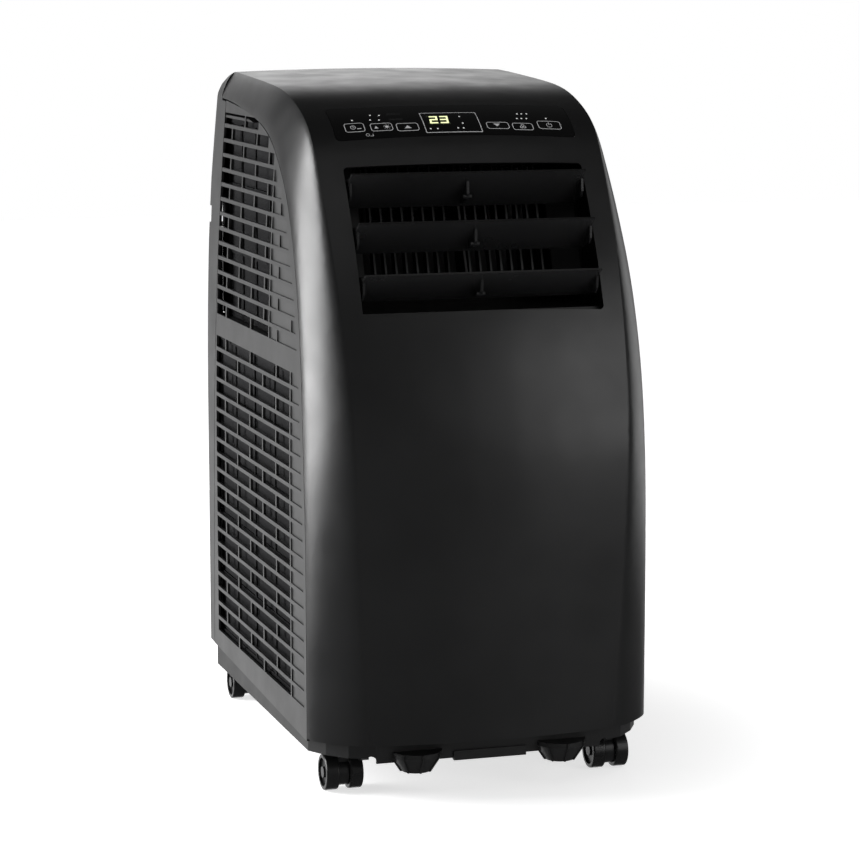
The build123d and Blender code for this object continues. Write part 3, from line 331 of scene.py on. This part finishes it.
def filter_cloth(name):
    """Woven mesh of the dust filter, drawn as a fine grid with no shine."""
    graph = Graph(name, grey(0.03), 1.0)
    graph.shader.inputs["Specular IOR Level"].default_value = 0.0
    first = graph.nodes.new("ShaderNodeTexWave")
    second = graph.nodes.new("ShaderNodeTexWave")
    first.bands_direction, second.bands_direction = "Y", "Z"
    for wave in (first, second):
        wave.inputs["Scale"].default_value = 260.0
        graph.links.new(graph.coords, wave.inputs["Vector"])
    both = graph.nodes.new("ShaderNodeMath")
    both.operation = "MAXIMUM"
    graph.links.new(first.outputs["Fac"], both.inputs[0])
    graph.links.new(second.outputs["Fac"], both.inputs[1])
    graph.tint(both.outputs[0], grey(0.004), grey(0.024))
    graph.bump(both.outputs[0], 0.7, 0.0003)
    return graph.material


def copper_tube(name):
    graph = Graph(name, (0.72, 0.34, 0.2), 0.3, 1.0)
    graph.tint(graph.noise(30.0, 4.0), (0.5, 0.2, 0.11), (0.78, 0.4, 0.25))
    graph.vary("Roughness", graph.noise(70.0, 3.0), 0.22, 0.42)
    graph.bump(graph.noise(240.0, 2.0), 0.2, 0.00005)
    return graph.material


def printed_ink(name, colour, strength=0.0):
    graph = Graph(name, colour, 0.45)
    light = tuple(min(1, c * 1.05) for c in colour)
    graph.tint(graph.noise(60.0, 2.0), tuple(c * 0.9 for c in colour), light)
    # Emission is real light for the lamps and the lit display, and a painted glow when put on plain print.
    if strength:
        graph.shader.inputs["Emission Color"].default_value = (*colour, 1)
        graph.shader.inputs["Emission Strength"].default_value = strength
    return graph.material


MATERIALS = {
    "shell_plastic": moulded_plastic("shell_plastic", 0.0105, 0.33),
    "base_plastic": moulded_plastic("base_plastic", 0.010, 0.45),
    "panel_gloss": gloss_panel("panel_gloss"),
    "screw_steel": brushed_metal("screw_steel", (0.72, 0.72, 0.73), 0.22),
    "circuit_board": circuit_board("circuit_board"),
    "display_plastic": moulded_plastic("display_plastic", 0.02, 0.2),
    "duct_plastic": moulded_plastic("duct_plastic", 0.006, 0.35),
    "louvre_plastic": moulded_plastic("louvre_plastic", 0.012, 0.24),
    "motor_steel": brushed_metal("motor_steel", (0.55, 0.55, 0.56), 0.35),
    "fin_aluminium": finned_aluminium("fin_aluminium"),
    "fan_plastic": moulded_plastic("fan_plastic", 0.02, 0.4),
    "compressor_paint": painted_metal("compressor_paint", 0.012, 0.3),
    "rubber": moulded_plastic("rubber", 0.012, 0.75, 300.0, 0.0001),
    "copper": copper_tube("copper"),
    "switch_plastic": moulded_plastic("switch_plastic", 0.6, 0.45),
    "box_steel": painted_metal("box_steel", 0.45, 0.4),
    "filter_mesh": filter_cloth("filter_mesh"),
    "plug_plastic": moulded_plastic("plug_plastic", 0.014, 0.5),
    "caster_plastic": moulded_plastic("caster_plastic", 0.009, 0.32),
    "axle_steel": brushed_metal("axle_steel", (0.5, 0.5, 0.51), 0.3),
    "wheel_plastic": moulded_plastic("wheel_plastic", 0.008, 0.28),
}


def dress_cad():
    for name, obj in NODES.items():
        material = MATERIALS[SLOT_OF[name]]
        obj.data.materials.clear()
        obj.data.materials.append(material)
        for polygon in obj.data.polygons:
            polygon.material_index = 0


# ---------------------------------------------------------------- control panel print
PANEL_ORIGIN = Vector((0.0, -0.0791, 0.5793))
PANEL_LEAN = math.radians(56.4)
PANEL_UP = Vector((0.0, math.sin(PANEL_LEAN), math.cos(PANEL_LEAN)))
PANEL_OUT = Vector((0.0, -math.cos(PANEL_LEAN), math.sin(PANEL_LEAN)))
PRINT_LIFT = 0.12
RAY_START = 0.03
LENS_DEPTH = 0.028
RIBBON_STEP = 3.0
DOT_SIDES = 14
CORNER_SIDES = 4


class PanelPrint:
    """Flat print laid on the curved lens; sizes are millimetres across and up the slope."""

    def __init__(self):
        lens = NODES["control_panel_lens"]
        points = [lens.matrix_world @ vertex.co for vertex in lens.data.vertices]
        faces = [tuple(polygon.vertices) for polygon in lens.data.polygons]
        self.surface = BVHTree.FromPolygons(points, faces)
        self.points = []
        self.faces = []

    def place(self, u, v):
        """Adds a point just proud of the lens, or at its usual depth where a ray misses it."""
        start = PANEL_ORIGIN + Vector((u * MM, 0, 0)) + PANEL_UP * (v * MM) + PANEL_OUT * RAY_START
        hit = self.surface.ray_cast(start, -PANEL_OUT)[0] or start - PANEL_OUT * LENS_DEPTH
        self.points.append(tuple(hit + PANEL_OUT * (PRINT_LIFT * MM)))
        return len(self.points) - 1

    def line(self, path, width, closed=False):
        """Ribbon of even width along a path."""
        stops = list(path) + ([path[0]] if closed else [])
        for (u0, v0), (u1, v1) in zip(stops, stops[1:]):
            length = math.hypot(u1 - u0, v1 - v0)
            side_u, side_v = -(v1 - v0) / length * width / 2, (u1 - u0) / length * width / 2
            reach_u, reach_v = (u1 - u0) / length * width / 2, (v1 - v0) / length * width / 2
            count = max(1, int(length / RIBBON_STEP))
            previous = None
            for step in range(count + 1):
                share = step / count
                extend = -1 if step == 0 else (1 if step == count else 0)
                u = u0 + (u1 - u0) * share + reach_u * extend
                v = v0 + (v1 - v0) * share + reach_v * extend
                pair = (self.place(u - side_u, v - side_v), self.place(u + side_u, v + side_v))
                if previous:
                    self.faces.append((previous[0], pair[0], pair[1], previous[1]))
                previous = pair

    def patch(self, outline):
        self.faces.append(tuple(self.place(u, v) for u, v in outline))

    def dot(self, u, v, radius):
        turns = [2 * math.pi * index / DOT_SIDES for index in range(DOT_SIDES)]
        self.patch([(u + radius * math.cos(turn), v + radius * math.sin(turn)) for turn in turns])

    def arc(self, u, v, radius, start, end, width):
        span = end - start
        turns = [math.radians(start + span * index / DOT_SIDES) for index in range(DOT_SIDES + 1)]
        self.line([(u + radius * math.cos(turn), v + radius * math.sin(turn)) for turn in turns], width)

    def rounded_box(self, u0, u1, v0, v1, corner, width):
        path = []
        for cu, cv, start in ((u1 - corner, v1 - corner, 0), (u0 + corner, v1 - corner, 90),
                              (u0 + corner, v0 + corner, 180), (u1 - corner, v0 + corner, 270)):
            for index in range(CORNER_SIDES + 1):
                turn = math.radians(start + index * 90 / CORNER_SIDES)
                path.append((cu + corner * math.cos(turn), cv + corner * math.sin(turn)))
        self.line(path, width, closed=True)

    def finish(self, name, material):
        mesh = bpy.data.meshes.new(name)
        mesh.from_pydata(self.points, [], self.faces)
        mesh.materials.append(material)
        piece = bpy.data.objects.new(name, mesh)
        bpy.context.scene.collection.objects.link(piece)
        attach(piece, "casing")


# Key outlines on the panel, in millimetres: left, right, bottom, top.
KEYS = {
    "timer": (-101.4, -82.7, -14.8, -2.3),
    "mode": (-78.1, -57.4, -15.4, -4.3),
    "up": (-54.7, -33.7, -16.9, -5.8),
    "down": (29.0, 50.8, -16.3, -6.4),
    "fan": (53.3, 73.5, -17.4, -7.4),
    "power": (78.0, 100.9, -15.3, -3.6),
}
# Middles of the small lamps above the keys, and of the dots in the display.
LIGHTS = [
    (-92.0, 1.7), (-73.9, 8.4), (-65.8, 7.7), (-75.7, 0.9), (-67.6, 0.2),
    (63.2, 6.7), (67.4, 6.8), (72.3, 7.0), (60.9, -1.0), (65.2, -0.9), (70.0, -0.8), (88.9, 0.1),
]
DISPLAY_DOTS = [(7.1, 2.0), (7.7, -8.1), (1.9, -14.6), (6.9, -14.7), (-23.8, -14.8), (-17.2, -15.0)]
# Ends of each segment: across the digit, then how many half-heights up.
SEGMENTS = {
    "a": ((0, 2), (1, 2)), "b": ((1, 2), (1, 1)), "c": ((1, 1), (1, 0)), "d": ((0, 0), (1, 0)),
    "e": ((0, 1), (0, 0)), "f": ((0, 2), (0, 1)), "g": ((0, 1), (1, 1)),
}


KEY_INSET = 0.6
KEY_CORNER = 2.4
KEY_LINE = 0.6
CLOCK = (-93.4, -8.4)
SUN = (-62.9, -9.9)
SUN_RAYS = 8
FAN = (63.4, -12.5)
FAN_BLADES = 3
FAN_OFFSET = 1.5
POWER_SIGN = (89.4, -9.8)
SWING = (-82.2, -18.9)


def draw_clock(ink):
    u, v = CLOCK
    ink.arc(u, v, 2.3, 0, 360, 0.5)
    ink.line([(u, -6.8), (u, v), (-92.2, v)], 0.4)
    ink.line([(-89.6, -10.4), (-86.6, -10.4)], 0.9)


def draw_sun(ink):
    u, v = SUN
    ink.dot(u, v, 1.7)
    for index in range(SUN_RAYS):
        turn = math.radians(360 / SUN_RAYS * index)
        ends = [(u + reach * math.cos(turn), v + reach * math.sin(turn)) for reach in (2.4, 3.2)]
        ink.line(ends, 0.35)


def draw_fan(ink):
    u, v = FAN
    for index in range(FAN_BLADES):
        start = 360 // FAN_BLADES * index
        turn = math.radians(start + 90)
        middle = (u + FAN_OFFSET * math.cos(turn), v + FAN_OFFSET * math.sin(turn))
        ink.arc(*middle, 1.3, start, start + 230, 0.6)
    ink.dot(u, v, 0.6)


def draw_power_sign(ink):
    u, v = POWER_SIGN
    ink.arc(u, v, 2.5, 120, 420, 0.55)
    ink.line([(u, -9.2), (u, -6.2)], 0.6)


def draw_swing_sign(ink):
    ink.arc(*SWING, 1.5, 0, 360, 0.4)
    ink.line([(-79.8, -20.4), (-77.4, -20.4), (-77.4, -18.4)], 0.5)


def draw_keys():
    """Key outlines, the display frame and generic symbols, all in one print."""
    ink = PanelPrint()
    for u0, u1, v0, v1 in KEYS.values():
        ink.rounded_box(u0 + KEY_INSET, u1 - KEY_INSET, v0 + KEY_INSET, v1 - KEY_INSET, KEY_CORNER, KEY_LINE)
    ink.rounded_box(-28.5, 23.5, -19.7, 8.7, 0.8, 0.7)
    ink.patch([(-47.2, -13.2), (-40.8, -13.2), (-44.0, -9.2)])
    ink.patch([(36.2, -9.0), (42.4, -9.0), (39.3, -12.8)])
    draw_clock(ink)
    ink.patch([(-74.6, -11.6), (-70.8, -11.6), (-72.7, -8.2)])
    draw_sun(ink)
    draw_fan(ink)
    draw_power_sign(ink)
    draw_swing_sign(ink)
    # The 0.16 emission on the key print is a painted glow: printed ink is no lamp.
    ink.finish("panel_print", printed_ink("panel_ink_painted_glow", (0.72, 0.72, 0.73), 0.16))


def draw_lights():
    lamps = PanelPrint()
    for u, v in LIGHTS:
        lamps.dot(u, v, 0.85)
    for u, v in DISPLAY_DOTS:
        lamps.dot(u, v, 0.8)
    lamps.finish("panel_lamps", printed_ink("lamp_ink", (0.85, 0.86, 0.85), 0.45))
    window = PanelPrint()
    window.patch([(-58.7, -1.2), (-45.9, -1.2), (-45.9, 10.3), (-58.7, 10.3)])
    window.finish("remote_window", moulded_plastic("window_smoke", 0.02, 0.25))


DIGITS = (("abged", -21.4, -15.6), ("abgcd", -11.6, -5.8))
DIGIT_LOW = -6.9
DIGIT_HIGH = 2.3
DIGIT_SLANT = 0.5
DIGIT_LINE = 1.7


def draw_digits():
    """Two seven-segment digits on their darker backing."""
    backing = PanelPrint()
    backing.patch([(-23.6, -9.0), (-3.4, -9.0), (-3.4, 4.2), (-23.6, 4.2)])
    backing.finish("digit_backing", printed_ink("digit_backing_ink", (0.055, 0.06, 0.035)))
    digits = PanelPrint()
    for code, left, right in DIGITS:
        for name in code:
            ends = []
            for across, level in SEGMENTS[name]:
                u = left + (right - left) * across + DIGIT_SLANT * level
                ends.append((u, DIGIT_LOW + (DIGIT_HIGH - DIGIT_LOW) * level / 2))
            digits.line(ends, DIGIT_LINE)
    digits.finish("panel_digits", printed_ink("digit_light", (0.80, 0.85, 0.46), 1.2))


set_stage()
dress_cad()
draw_keys()
draw_lights()
draw_digits()
